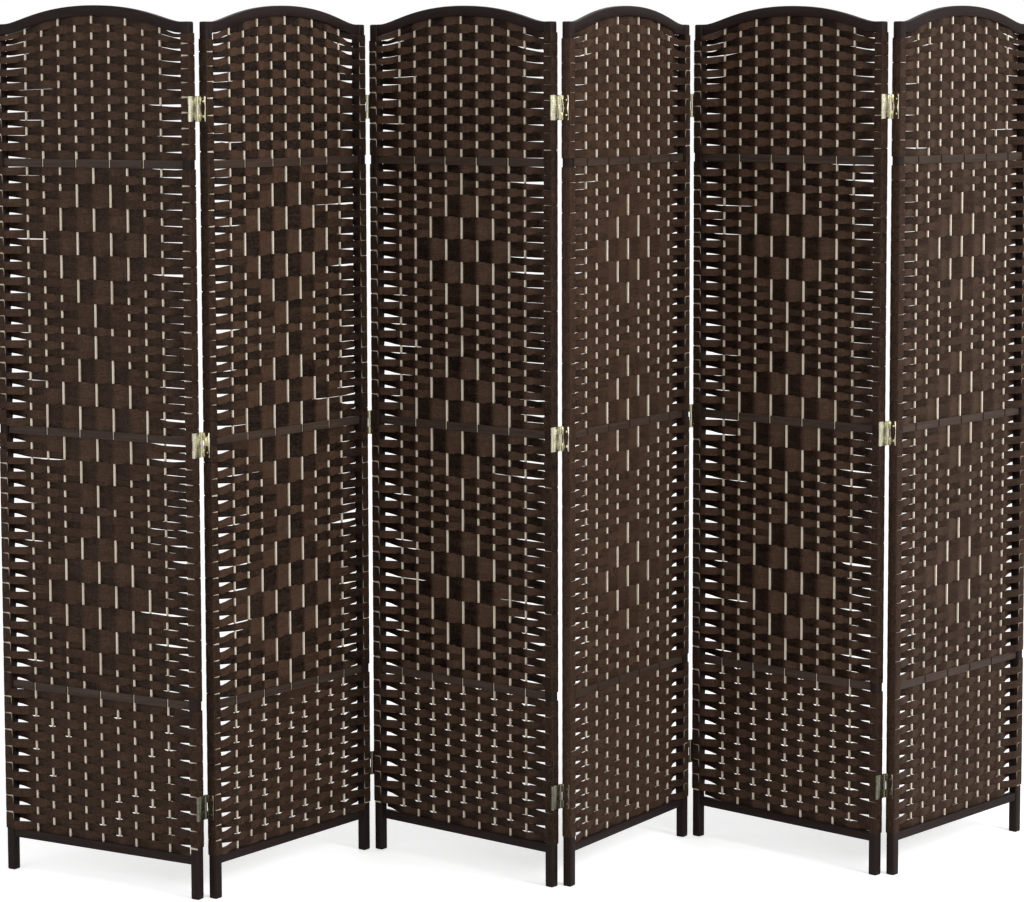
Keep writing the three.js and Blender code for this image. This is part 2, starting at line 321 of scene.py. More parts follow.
def finished(piece, body, slot, *nodes):
    """Hands a piece to the frame: what it rides on and the CAD nodes that it stands for, which it hides. The
    slot, the name of its finish, is not used.
    """
    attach(piece, body)
    if nodes:
        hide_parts(*nodes)
    return piece


# ---- materials ----

class Nodes:
    """A node tree, with short ways to add and join nodes."""

    def __init__(self, tree):
        self.tree = tree

    def feed(self, socket, value):
        """Joins a socket to a node's output, or gives it a value."""
        if isinstance(value, bpy.types.NodeSocket):
            self.tree.links.new(value, socket)
        else:
            socket.default_value = value

    def node(self, kind, inputs=(), **settings):
        """The outputs of a new node, after its inputs were fed by name or number."""
        made = self.tree.nodes.new(kind)
        for key, value in settings.items():
            setattr(made, key, value)
        for key, value in dict(inputs).items():
            self.feed(made.inputs[key], value)
        return made.outputs

    def math(self, operation, a, b, clamp=False):
        return self.node("ShaderNodeMath", {0: a, 1: b}, operation=operation, use_clamp=clamp)[0]

    def scaled(self, vector, strength):
        return self.node("ShaderNodeVectorMath", {0: vector, "Scale": strength}, operation="SCALE")[0]


class Shader(Nodes):
    """A material's node tree."""

    def __init__(self, name):
        self.material = bpy.data.materials.new(name)
        self.material.use_nodes = True
        super().__init__(self.material.node_tree)

    def attribute(self, name, output="Fac"):
        return self.node("ShaderNodeAttribute", attribute_name=name, attribute_type="GEOMETRY")[output]

    def noise(self, place, scale, detail, roughness):
        """Noise at a place. A scale of three numbers stretches it along the axes."""
        if isinstance(scale, tuple):
            place, scale = self.node("ShaderNodeMapping", {"Vector": place, "Scale": scale})[0], 1.0
        inputs = {"Vector": place, "Scale": scale, "Detail": detail, "Roughness": roughness}
        return self.node("ShaderNodeTexNoise", inputs)["Fac"]

    def ranged(self, value, low, high, to_low=0.0, to_high=1.0):
        inputs = {"Value": value, "From Min": low, "From Max": high, "To Min": to_low, "To Max": to_high}
        return self.node("ShaderNodeMapRange", inputs)["Result"]

    def mix(self, factor, a, b):
        """Mixes two colours, each a node's output or three numbers."""
        a, b = ((*tone, 1) if isinstance(tone, tuple) else tone for tone in (a, b))
        return self.node("ShaderNodeMix", {0: factor, 6: a, 7: b}, data_type="RGBA", clamp_factor=True)[2]

    def bump(self, height, strength, distance):
        inputs = {"Strength": strength, "Distance": distance, "Height": height}
        return self.node("ShaderNodeBump", inputs)["Normal"]

    def finish(self, surface):
        """The material, after its surface's named inputs were joined to outputs or given values."""
        inputs = self.tree.nodes["Principled BSDF"].inputs
        for name, value in surface.items():
            self.feed(inputs[name], value)
        return self.material


def stained_wood():
    """Dark espresso stain on the posts and on the top and bottom rails."""
    look = bpy.context.scene.screen_frame
    return wood_finish("stained_wood", look.stain, look.stain_light)


def rail_wood():
    """Browner stain on the cross rails and the battens."""
    look = bpy.context.scene.screen_frame
    return wood_finish("rail_wood", look.rail_stain, look.rail_stain_light)


def wood_finish(name, stain, stain_light):
    """Stained wood whose grain runs along the first axis of the grain attribute."""
    sticks = bpy.context.scene.screen_sticks
    s = Shader(name)
    place = s.attribute("grain", "Vector")
    grain = s.noise(place, (9, 260, 260), 6, 0.65)
    broad = s.noise(place, (2.2, 30, 30), 3, 0.5)
    pores = s.noise(place, (60, 1500, 1500), 2, 0.5)
    streaks = s.math("ADD", s.math("MULTIPLY", grain, 0.6), s.math("MULTIPLY", broad, 0.4))
    tone = s.mix(s.ranged(streaks, 0.38, 0.66), tuple(stain), tuple(stain_light))
    tone = s.mix(s.ranged(pores, 0.62, 0.72, 0, 0.55), tone, tuple(0.35 * c for c in stain))
    bare = s.mix(s.ranged(grain, 0.35, 0.7), tuple(sticks.wood), tuple(sticks.wood_dark))
    height = s.math("SUBTRACT", s.math("MULTIPLY", grain, 0.6), s.ranged(pores, 0.6, 0.75, 0, 0.8))
    return s.finish({
        "Base Color": s.mix(s.attribute("bare"), tone, bare),
        "Roughness": s.ranged(grain, 0.3, 0.7, 0.34, 0.5),
        "Specular IOR Level": 0.08,
        "Normal": s.bump(height, 0.35, 0.00025),
    })


def natural_wood():
    """Pale natural wood of the sticks."""
    look = bpy.context.scene.screen_sticks
    s = Shader("natural_wood")
    place = s.attribute("grain", "Vector")
    grain = s.noise(place, (12, 700, 700), 5, 0.6)
    broad = s.noise(place, (3, 24, 24), 3, 0.5)
    tone = s.mix(s.ranged(grain, 0.4, 0.7), tuple(look.wood), tuple(look.wood_dark))
    tone = s.mix(s.ranged(broad, 0.4, 0.7, 0, 0.35), tone, tuple(1.25 * c for c in look.wood))
    return s.finish({
        "Base Color": tone,
        "Roughness": s.ranged(grain, 0.3, 0.7, 0.5, 0.68),
        "Normal": s.bump(grain, 0.4, 0.0002),
    })


def woven_fibre():
    """Dyed paper fibre: fibres run along the strip, and fine ribs cross it. Painted sheen on the sloping
    stretches of strip and painted shade on its loops round the posts make it lighter or darker.
    """
    look = bpy.context.scene.screen_weave
    s = Shader("woven_fibre")
    along, across, row = s.attribute("along"), s.attribute("across"), s.attribute("row_tone")
    slope = s.attribute("slope")
    place = s.node("ShaderNodeCombineXYZ", {
        "X": along, "Y": s.math("MULTIPLY", across, HALF_ROW), "Z": s.math("MULTIPLY", row, 3),
    })[0]
    fibres = s.noise(place, (35, 1500, 9), 5, 0.65)
    ribs = s.noise(place, (900, 40, 9), 3, 0.55)
    broad = s.noise(place, (22, 90, 9), 3, 0.5)
    shade_of = s.math("ADD", s.math("MULTIPLY", fibres, 0.55), s.math("MULTIPLY", ribs, 0.45))
    tone = s.mix(s.ranged(shade_of, 0.36, 0.64), tuple(look.fibre), tuple(look.fibre_light))
    strength = s.math("ADD", s.ranged(broad, 0.3, 0.7, 0.82, 1.16), s.ranged(row, 0, 1, -0.12, 0.12))
    mottle = s.noise(place, (170, 420, 9), 3, 0.6)
    strength = s.math("ADD", strength, s.ranged(mottle, 0.3, 0.7, -0.4, 0.4))
    # Painted sheen and painted shade, carried by the strip, lighten or darken the fibre.
    strength = s.math("ADD", strength, s.math("MULTIPLY", slope, 0.58))
    height = s.math("ADD", s.math("MULTIPLY", ribs, 0.6), s.math("MULTIPLY", fibres, 0.6))
    return s.finish({
        "Base Color": s.scaled(tone, strength),
        "Roughness": s.ranged(fibres, 0.3, 0.7, 0.42, 0.62),
        "Specular IOR Level": 0.07,
        "Normal": s.bump(height, 0.6, 0.0004),
    })


def hinge_brass():
    """Brushed brass, duller in patches, with painted shade that darkens the hinges near the floor."""
    look = bpy.context.scene.screen_hinges
    s = Shader("hinge_brass")
    place = s.node("ShaderNodeTexCoord")["Object"]
    brushed = s.noise(place, (300, 300, 6000), 3, 0.5)
    patches = s.noise(place, 70, 5, 0.65)
    spots = s.noise(place, 900, 2, 0.5)
    dull_patches = s.ranged(patches, 0.42, 0.68, 0, 0.7)
    dull = s.math("ADD", dull_patches, s.ranged(spots, 0.64, 0.74, 0, 0.5), clamp=True)
    tone = s.mix(dull, tuple(look.brass), tuple(look.brass_dull))
    level = s.node("ShaderNodeSeparateXYZ", {"Vector": place})["Z"]
    # Painted shade: the hinges near the floor are painted darker, for the shade that falls on them there.
    floor_shade = s.ranged(level, 0.4, 0.7, 0.3, 1.0)
    return s.finish({
        "Base Color": s.scaled(tone, floor_shade),
        "Metallic": 1.0,
        "Roughness": s.ranged(dull, 0, 1, 0.26, 0.46),
        "Normal": s.bump(brushed, 0.12, 0.0001),
    })


def material(make):
    """A finish by the function that makes it, made once."""
    return bpy.data.materials.get(make.__name__) or make()


# ---- geometry node trees ----

class Tree(Nodes):
    """A Geometry Nodes tree with named inputs, used once on an object and then turned into its mesh."""

    def __init__(self, name):
        super().__init__(bpy.data.node_groups.new(name, "GeometryNodeTree"))
        for way in ("INPUT", "OUTPUT"):
            self.tree.interface.new_socket("Geometry", in_out=way, socket_type="NodeSocketGeometry")
        self.start = self.tree.nodes.new("NodeGroupInput").outputs
        self.end = self.tree.nodes.new("NodeGroupOutput")

    def input(self, name, kind, default=None):
        kind = "NodeSocket" + kind
        socket = self.tree.interface.new_socket(name, in_out="INPUT", socket_type=kind)
        if default is not None:
            socket.default_value = default
        return self.start[name]

    def named(self, name, kind="FLOAT"):
        return self.node("GeometryNodeInputNamedAttribute", {"Name": name}, data_type=kind)["Attribute"]

    def stored(self, geometry, name, value):
        """Keeps a number for each point of a geometry under a name."""
        inputs = {"Geometry": geometry, "Name": name, "Value": value}
        return self.node("GeometryNodeStoreNamedAttribute", inputs, data_type="FLOAT", domain="POINT")[0]

    def finish(self, geometry, smooth=True):
        """Ends the tree in Realize Instances and Set Material."""
        finish = self.input("Finish", "Material")
        if smooth:
            geometry = self.node("GeometryNodeSetShadeSmooth", {"Geometry": geometry})[0]
        real = self.node("GeometryNodeRealizeInstances", {"Geometry": geometry})[0]
        last = self.node("GeometryNodeSetMaterial", {"Geometry": real, "Material": finish})[0]
        self.feed(self.end.inputs["Geometry"], last)
        return self.tree


def made_by(tree, piece, finish, **inputs):
    """Runs a tree on an object, and leaves the object with the resulting plain mesh."""
    modifier = piece.modifiers.new(tree.name, "NODES")
    modifier.node_group = tree
    values = {"Finish": finish}
    values.update((key.replace("_", " ").capitalize(), value) for key, value in inputs.items())
    for item in tree.interface.items_tree:
        if item.in_out == "INPUT" and item.name in values:
            modifier[item.identifier] = values[item.name]
    graph = bpy.context.evaluated_depsgraph_get()
    made = bpy.data.meshes.new_from_object(
        piece.evaluated_get(graph), preserve_all_data_layers=True, depsgraph=graph,
    )
    old = piece.data
    piece.modifiers.remove(modifier)
    piece.data = made
    bpy.data.meshes.remove(old)
    made.name = piece.name
    return piece


def strip_tree():
    """Sweeps a flat strip along a line. At each point of the line the strip has its own top, bottom and
    sideways direction, so that it can spread, draw in and turn round a post."""
    tree = Tree("woven_strip")
    line = tree.start["Geometry"]
    thickness = tree.input("Thickness", "Float", 1.1 * MM)
    curve = tree.node("GeometryNodeMeshToCurve", {"Mesh": line})[0]
    section = tree.node("GeometryNodeCurvePrimitiveCircle", {"Resolution": 6, "Radius": 1.0})[0]
    place = tree.node("ShaderNodeSeparateXYZ", {0: tree.node("GeometryNodeInputPosition")[0]})
    section = tree.stored(section, "side", place[0])
    section = tree.stored(section, "across", tree.math("DIVIDE", place[1], math.sin(math.pi / 3)))
    strip = tree.node("GeometryNodeCurveToMesh", {
        "Curve": curve, "Profile Curve": section, "Fill Caps": True,
    })[0]
    middle = tree.math("MULTIPLY", tree.math("ADD", tree.named("top"), tree.named("bottom")), 0.5)
    reach = tree.math("MULTIPLY", tree.math("SUBTRACT", tree.named("top"), tree.named("bottom")), 0.5)
    level = tree.math("ADD", middle, tree.math("MULTIPLY", tree.named("across"), reach))
    stand_off = tree.math("MULTIPLY", tree.named("side"), tree.math("MULTIPLY", thickness, 0.5))
    outward = tree.scaled(tree.named("sideways", "FLOAT_VECTOR"), stand_off)
    foot = tree.node("ShaderNodeVectorMath", {
        0: tree.named("foot", "FLOAT_VECTOR"), 1: outward,
    }, operation="ADD")[0]
    foot = tree.node("ShaderNodeSeparateXYZ", {0: foot})
    point = tree.node("ShaderNodeCombineXYZ", {0: foot[0], 1: foot[1], 2: level})[0]
    placed = tree.node("GeometryNodeSetPosition", {"Geometry": strip, "Position": point})[0]
    return tree.finish(placed)


def stick_tree():
    """Sweeps a square section with eased corners up each upright line."""
    tree = Tree("upright_sticks")
    side = tree.input("Side", "Float", 4 * MM)
    ease = tree.input("Eased corner", "Float", STICK_CORNER)
    curve = tree.node("GeometryNodeMeshToCurve", {"Mesh": tree.start["Geometry"]})[0]
    square = tree.node("GeometryNodeCurvePrimitiveQuadrilateral", {"Width": side, "Height": side})[0]
    eased = tree.node("GeometryNodeFilletCurve", {"Curve": square, "Radius": ease}, mode="POLY")[0]
    turned = tree.node("GeometryNodeSetCurveTilt", {"Curve": curve, "Tilt": tree.named("turn")})[0]
    sticks = tree.node("GeometryNodeCurveToMesh", {
        "Curve": turned, "Profile Curve": eased, "Fill Caps": True,
    })[0]
    return tree.finish(sticks, smooth=False)


def screw_tree():
    """Sets a copy of one screw head at each point, turned to face outwards."""
    tree = Tree("screw_heads")
    head = tree.input("Screw head", "Object")
    info = tree.node("GeometryNodeObjectInfo", {"Object": head})["Geometry"]
    aligned = tree.node("FunctionNodeAlignRotationToVector", {
        "Vector": tree.named("facing", "FLOAT_VECTOR"),
    }, axis="Z")[0]
    spun = tree.node("FunctionNodeRotateRotation", {
        0: aligned,
        1: tree.node("FunctionNodeAxisAngleToRotation", {
            "Axis": (0, 0, 1), "Angle": tree.named("spin"),
        })[0],
    }, rotation_space="LOCAL")[0]
    copies = tree.node("GeometryNodeInstanceOnPoints", {
        "Points": tree.start["Geometry"], "Instance": info, "Rotation": spun,
    })[0]
    return tree.finish(copies, smooth=False)


# ---- the wooden frame ----

# How far from the rails the posts are bare of stain under the loops, and how fast the stain ends there.
BARE_MARGIN = 14 * MM
STAIN_EDGE = 0.4 * MM
# The least rounding of a post's corners at its ends, and how near a side a point counts as on it.
LEAST_CORNER = 0.6 * MM
ON_SIDE = 0.3 * MM
# The gap between a batten's end and its post.
BATTEN_ROOM = 1.5 * MM


def bare_stretches():
    """The stretches of a post that are bare under the loops, as levels."""
    foot, middle, top = weave_spans()
    below_batten = (middle[0], BATTEN_LEVEL - 2 * BATTEN_HEIGHT)
    above_batten = (BATTEN_LEVEL + 2 * BATTEN_HEIGHT, middle[1])
    spans = (foot, below_batten, above_batten, top)
    return [(low + BARE_MARGIN, high - BARE_MARGIN) for low, high in spans]


def add_post(panel, side_name):
    """One square post with rounded edges and ends. Under the loops its front and back are bare of stain."""
    sizes = bpy.context.scene.screen_frame
    side = -1 if side_name == "left" else 1
    half = sizes.post_side / 2
    end = sizes.post_end
    angles = np.linspace(0, math.pi / 2, 4)
    rounding = [(end * (1 - math.cos(a)), end * (1 - math.sin(a))) for a in angles]
    bare_spans = bare_stretches()
    stops = list(rounding)
    for low, high in bare_spans:
        stops += [(z, 0) for z in (low, low + STAIN_EDGE, high - STAIN_EDGE, high)]
    stops += [(POST_HEIGHT - z, inset) for z, inset in reversed(rounding)]
    rings, bare = [], []
    for z, inset in stops:
        ring = round_corners(half - inset, half - inset, max(sizes.post_corner - inset, LEAST_CORNER), 4)
        rings.append(np.column_stack([ring + [side * sizes.post_centre, 0], np.full(len(ring), z)]))
        inside = any(low + STAIN_EDGE / 2 < z < high - STAIN_EDGE / 2 for low, high in bare_spans)
        bare += [1.0 if inside and abs(y) > half - ON_SIDE else 0.0 for y in ring[:, 1]]
    points, faces = swept(rings)
    grain = points[:, [2, 0, 1]] + [panel, side * 0.5, 0]
    name = f"panel_{panel}_{side_name}_post"
    piece = mesh_object(
        f"{name}_wood", put(points, PANEL_PLACES[panel]), faces, material(stained_wood),
        grain=grain, bare=bare,
    )
    finished(shade(piece), f"panel_{panel}", "posts", name)


def add_bar(panel, kind, underside, top):
    """A rail between two edges that may curve, swept from the left post to the right post."""
    sizes = bpy.context.scene.screen_frame
    end = sizes.rail_half_length
    curved = np.linspace(-SHOULDER_START, SHOULDER_START, 61)
    places = np.unique(np.round(np.concatenate([[-end], curved, [end]]), 6))
    rings = []
    for x in places:
        z0, z1 = float(underside(x)), float(top(x))
        ring = round_corners(sizes.rail_thickness / 2, (z1 - z0) / 2, sizes.rail_round, 3)
        rings.append(np.column_stack([np.full(len(ring), x), ring[:, 0], ring[:, 1] + (z0 + z1) / 2]))
    points, faces = swept(rings)
    piece = mesh_object(
        f"panel_{panel}_{kind}_wood", put(points, PANEL_PLACES[panel]), faces, material(stained_wood),
        grain=points + [panel * 1.7, 0, 0], bare=np.zeros(len(points)),
    )
    finished(shade(piece), f"panel_{panel}", "rails", f"panel_{panel}_{kind}")


def stick_places():
    """The places of the sticks along a panel."""
    sticks = bpy.context.scene.screen_sticks
    return (np.arange(sticks.count) - (sticks.count - 1) / 2) * sticks.pitch


def slotted_outline(first_slot_side, half_length, half_depth, slot_half):
    """A cross rail in plan. Its slots for the sticks open to the front and to the back in turn."""
    front, back = [(-half_length, -half_depth)], [(half_length, half_depth)]
    for n, x in enumerate(stick_places()):
        side = -first_slot_side if n % 2 else first_slot_side
        lip, floor = side * half_depth, -side * slot_half
        slot = [(x - slot_half, lip), (x - slot_half, floor), (x + slot_half, floor), (x + slot_half, lip)]
        if side < 0:
            front += slot
        else:
            back += [slot]
    front.append((half_length, -half_depth))
    behind = [back[0]] + [point for slot in reversed(back[1:]) for point in reversed(slot)]
    return front + behind + [(-half_length, half_depth)]


def add_slotted_rail(panel, kind, span, first_slot_side, half_length, *nodes):
    """A cross rail or the batten, from its outline in plan, with eased edges."""
    sizes = bpy.context.scene.screen_frame
    sticks = bpy.context.scene.screen_sticks
    outline = slotted_outline(
        first_slot_side, half_length, sizes.cross_rail_thickness / 2, sticks.side / 2 + SEAT_GAP,
    )
    mesh = bmesh.new()
    bottom = [mesh.verts.new((x, y, span[0])) for x, y in outline]
    top = [mesh.verts.new((x, y, span[1])) for x, y in outline]
    mesh.faces.new(bottom[::-1])
    mesh.faces.new(top)
    for n in range(len(outline)):
        m = (n + 1) % len(outline)
        mesh.faces.new((bottom[n], bottom[m], top[m], top[n]))
    eased = []
    for edge in mesh.edges:
        start, stop = (v.co for v in edge.verts)
        on_face = abs(abs(start.y) - sizes.cross_rail_thickness / 2) < SAME
        if on_face and abs(start.y - stop.y) < SAME and abs(start.z - stop.z) < SAME:
            eased.append(edge)
    bmesh.ops.bevel(
        mesh, geom=eased, offset=sizes.cross_rail_round, segments=2, profile=0.5, affect="EDGES",
    )
    bmesh.ops.recalc_face_normals(mesh, faces=mesh.faces)
    points = np.array([v.co for v in mesh.verts])
    faces = [[v.index for v in f.verts] for f in mesh.faces]
    mesh.free()
    piece = mesh_object(
        f"panel_{panel}_{kind}_wood", put(points, PANEL_PLACES[panel]), faces, material(rail_wood),
        grain=points + [panel * 2.3, 0, span[0] * 5], bare=np.zeros(len(points)),
    )
    finished(shade(piece), f"panel_{panel}", "rails", *nodes)


# ---- the weave ----

# Hand-woven panels differ a little: rows above the upper rail, above the batten, below it and at the foot.
PANEL_ROWS = {
    1: (18, 33, 33, 17),
    2: (16, 33, 31, 19),
    3: (17, 35, 32, 18),
    4: (17, 35, 34, 20),
    5: (17, 35, 32, 18),
    6: (17, 35, 34, 19),
}
# How far the rows draw in beside the posts of each panel, as shares of the weave's wedge, and the share
# of it that is left in the rows at the foot, where it differs.
PANEL_PULL = {1: 1.0, 2: 1.1, 3: 0.95, 4: 0.75, 5: 0.85, 6: 0.7}
FOOT_PULL = {1: 0.55, 2: 0.65}
# How open the slits between the loops on each panel's left and right posts are.
POST_SLITS = {1: (1.0, 0.9), 2: (0.8, 0.4), 3: (1.0, 0.25), 4: (0.25, 0.4), 5: (0.9, 0.4), 6: (0.25, 0.4)}
# How strongly the painted sheen shows on the sloping stretches of each panel's strips, and less so at the
# foot.
PANEL_SHEEN = {1: 0.55, 2: 1.0, 3: 1.0, 4: 0.5, 5: 1.0, 6: 0.5}
FOOT_SHEEN = 0.55
# How much paler a panel's strips are made.
PANEL_TONE = {1: 0.0, 2: 0.05, 3: -0.05, 4: 0.42, 5: 0.0, 6: 0.05}
# The share of rows that leave a slit over the outer sticks, and how far from the middle that slit lies.
SLIT_SHARE = {1: 0.3, 2: 0.25, 3: 0.35, 4: 0.06, 5: 0.4, 6: 0.08}
SLIT_PLACES = (140, 225)
# The share of the bare sticks of the foot rows that have a short slit at their end, and its half width.
FOOT_SLIT_SHARE = {1: 0.25, 2: 0.6, 3: 0.8, 4: 0.7, 5: 0.85, 6: 0.5}
FOOT_SLIT_REACH = 9 * MM
# The steps of one diamond, as sticks reached to each side of the middle one, and the rows in a step.
DIAMOND_GROUPS = (0, 1, 2, 3, 2, 1, 0)
DIAMOND_STEP_ROWS = 3
# The room between a strip and a stick, and between pieces that are seated in each other.
STICK_ROOM = 0.15 * MM
SEAT_GAP = 0.3 * MM
# How far the sticks go into the bottom rail and into the top rail.
STICK_IN_BOTTOM_RAIL = 11.7 * MM
STICK_IN_TOP_RAIL = 7.4 * MM
STICK_CORNER = 0.6 * MM
# Half of a row's usual height.
HALF_ROW = 7.5 * MM


def weave_spans():
    """The three stretches of weave between the rails, as levels beside the posts."""
    rails = list(RAIL_LEVELS.values())
    return [(below[1] + SEAT_GAP, above[0] - SEAT_GAP) for below, above in zip(rails, rails[1:])]


def diamond_rows(above, below):
    """For each row between the cross rails, from the top: how far its diamond reaches from the middle
    stick, or nothing where the weave is plain. Each step of a diamond is three rows high, and one row
    parts two diamonds. The middle diamond is cut by the batten."""
    steps = [reach for reach in DIAMOND_GROUPS for _ in range(DIAMOND_STEP_ROWS)]
    widest = steps.index(max(steps)) + DIAMOND_STEP_ROWS
    upper = steps + [1] + steps[:widest]
    lower = steps[widest:] + [1] + steps
    plain = [None] * DIAMOND_STEP_ROWS
    return (plain + upper)[-above:], (lower + plain)[:below]


def shown_in_diamond(row, from_middle):
    """Whether a row shows a stick as part of its diamond, or nothing where the stick is outside it."""
    reach = row["reach"]
    if reach is None or from_middle > reach:
        return None
    return (from_middle - reach) % 2 == 0


def passes_in_front(rows, k, stick):
    """Whether row k hides a stick from the front of a panel. Beside a diamond a strip never leaves bare the
    stick that the diamond's next row shows."""
    from_middle = abs(stick - len(stick_places()) // 2)
    shown = shown_in_diamond(rows[k], from_middle)
    if shown is not None:
        return not shown
    if any(shown_in_diamond(row, from_middle) for row in rows[max(k - 1, 0):k + 2]):
        return True
    return (k + stick) % 2 == 1


def weave_rows(panel):
    """Every row of a panel from the top: its bottom and top edge as a level and a share of the stretch that
    lies below it, its diamond reach, and whether it bends with the arch or lies at the foot."""
    foot, middle, top = weave_spans()
    crown = float(ARCH_UNDERSIDE(0.0)) - SEAT_GAP
    above_batten = (BATTEN_LEVEL + BATTEN_HEIGHT / 2, middle[1])
    below_batten = (middle[0], BATTEN_LEVEL - BATTEN_HEIGHT / 2)
    top_rows, above, below, foot_rows = PANEL_ROWS[panel]
    upper, lower = diamond_rows(above, below)
    rows = []
    for (low, high), reaches, rises, at_foot in (
        ((top[0], crown), [None] * top_rows, True, False),
        (above_batten, upper, False, False),
        (below_batten, lower, False, False),
        (foot, [None] * foot_rows, False, True),
    ):
        count = len(reaches)
        for n, reach in enumerate(reaches):
            shares = ((count - n - 1) / count, (count - n) / count)
            edges = [(low + (high - low) * share, share) for share in shares]
            rows.append({"edges": edges, "reach": reach, "rises": rises, "foot": at_foot})
    return rows


def row_edge(row, which, x):
    """The level of a row's bottom (0) or top (1) edge at x. Rows under the arch bend with it."""
    level, share_up = row["edges"][which]
    if not row["rises"]:
        return np.full_like(x, level)
    drop = ARCH_UNDERSIDE(x) - ARCH_UNDERSIDE(0.0)
    return level + drop * share_up ** 3


def smooth(t):
    """A smooth step from 0 to 1, level at both ends."""
    t = np.clip(t, 0, 1)
    return t * t * (3 - 2 * t)


def row_line(panel, rows, k, rng):
    """The points of one row from the inner face of one post to that of the other, left to right."""
    scene = bpy.context.scene
    weave, sizes = scene.screen_weave, scene.screen_frame
    row = rows[k]
    sticks = stick_places()
    half_post = sizes.post_side / 2
    inner = sizes.post_centre - half_post
    lead = half_post + weave.post_room + weave.strip_thickness / 2
    over_stick = scene.screen_sticks.side / 2 + weave.strip_thickness / 2 + STICK_ROOM
    side_at = [-1 if passes_in_front(rows, k, n) else 1 for n in range(len(sticks))]
    post_side = -1 if k % 2 == 0 else 1
    knots = [-inner, *sticks, inner]
    heights = [post_side * lead, *(s * over_stick for s in side_at), post_side * lead]
    xs, ys, painted_sheens = [], [], []
    for n in range(len(knots) - 1):
        count = 9 if n in (0, len(knots) - 2) else 8
        t = np.linspace(0, 1, count + 1)[:-1]
        x = knots[n] + (knots[n + 1] - knots[n]) * t
        y = heights[n] + (heights[n + 1] - heights[n]) * smooth(t * 1.1 - 0.05)
        if heights[n] == heights[n + 1]:
            y = heights[n] * (1 - 0.35 * np.sin(math.pi * t) ** 2)
        xs.append(x)
        ys.append(y)
        # Painted sheen: each stretch of strip between two sticks is painted lighter or darker by which way it
        # is sloping.
        painted_sheens.append(np.sign(heights[n + 1] - heights[n]) * np.minimum(1, 2.5 * np.sin(math.pi * t)))
    x = np.append(np.concatenate(xs), inner)
    y = np.append(np.concatenate(ys), heights[-1])
    slope = np.append(np.concatenate(painted_sheens), 0.0)
    bottom = row_edge(row, 0, x) - weave.overlap / 2
    top = row_edge(row, 1, x) + weave.overlap / 2
    if rng.uniform() < SLIT_SHARE[panel] and not row["foot"]:
        # A slit is left over the outer sticks, where the row above was not pushed down.
        slit_at = rng.choice([-1, 1]) * rng.uniform(*SLIT_PLACES) * MM
        depth, reach = rng.uniform(2.1, 3.2) * MM, rng.uniform(40, 90) * MM
        top = top - depth * smooth(1.6 - 1.6 * np.abs(x - slit_at) / reach)
    if row["foot"]:
        # The foot rows are not pushed down as hard, so a short slit is left at the end of a bare stick.
        for stick, side in zip(sticks, side_at):
            if side < 0 and rng.uniform() < FOOT_SLIT_SHARE[panel]:
                depth = rng.uniform(2.3, 3.3) * MM
                top = top - depth * smooth(1.3 - np.abs(x - stick) / FOOT_SLIT_REACH)
    wave = np.interp(x, knots, rng.uniform(-0.25, 0.25, len(knots)) * MM)
    return x, y, bottom + wave, top + wave, slope


def edge_draw(panel, rows, k):
    """How much the edge of row k draws in beside the posts: a little more on the back of the screen."""
    in_front = (k % 2 == 0) != (panel in REVERSED_PANELS)
    pull = PANEL_PULL[panel] * (0.45 if in_front else 0.75)
    if rows[k]["foot"]:
        pull *= FOOT_PULL.get(panel, 1.0)
    return bpy.context.scene.screen_weave.wedge * pull


def panel_line(panel):
    """The whole strip of a panel as one line that snakes from row to row round the posts."""
    scene = bpy.context.scene
    rng = np.random.default_rng(scene.screen_weave.seed * 100 + panel)
    rows = weave_rows(panel)
    inner = scene.screen_frame.post_centre - scene.screen_frame.post_side / 2
    room = inner - stick_places()[-1]
    runs, tone = [], rng.uniform(0, 1, len(rows))
    for k in range(len(rows)):
        x, y, bottom, top, slope = row_line(panel, rows, k, rng)
        # The strip runs to the right in even rows. It meets the row above at one post and the row below
        # at the other, and its edge draws in beside the post on the side of the row that it joins.
        for post in (-1, 1):
            joins_below = (post == 1) == (k % 2 == 0)
            near = 1 - np.clip((inner - x * post) / (room * rng.uniform(0.95, 1.6)), 0, 1)
            draw = edge_draw(panel, rows, k) * rng.uniform(0.7, 1.2) * near
            if joins_below:
                bottom = bottom + draw
            else:
                top = top - draw
        if k % 2:
            x, y, bottom, top, slope = (a[::-1] for a in (x, y, bottom, top, slope))
        if rows[k]["foot"]:
            slope = slope * FOOT_SHEEN
        runs.append((x, y, bottom, top, slope, np.full(len(x), tone[k]), np.tile([0, 1.0], (len(x), 1))))
        if k + 1 < len(rows):
            runs.append(wrap_line(panel, rows, k, tone, rng))
    return [np.concatenate([run[n] for run in runs]) for n in range(7)]


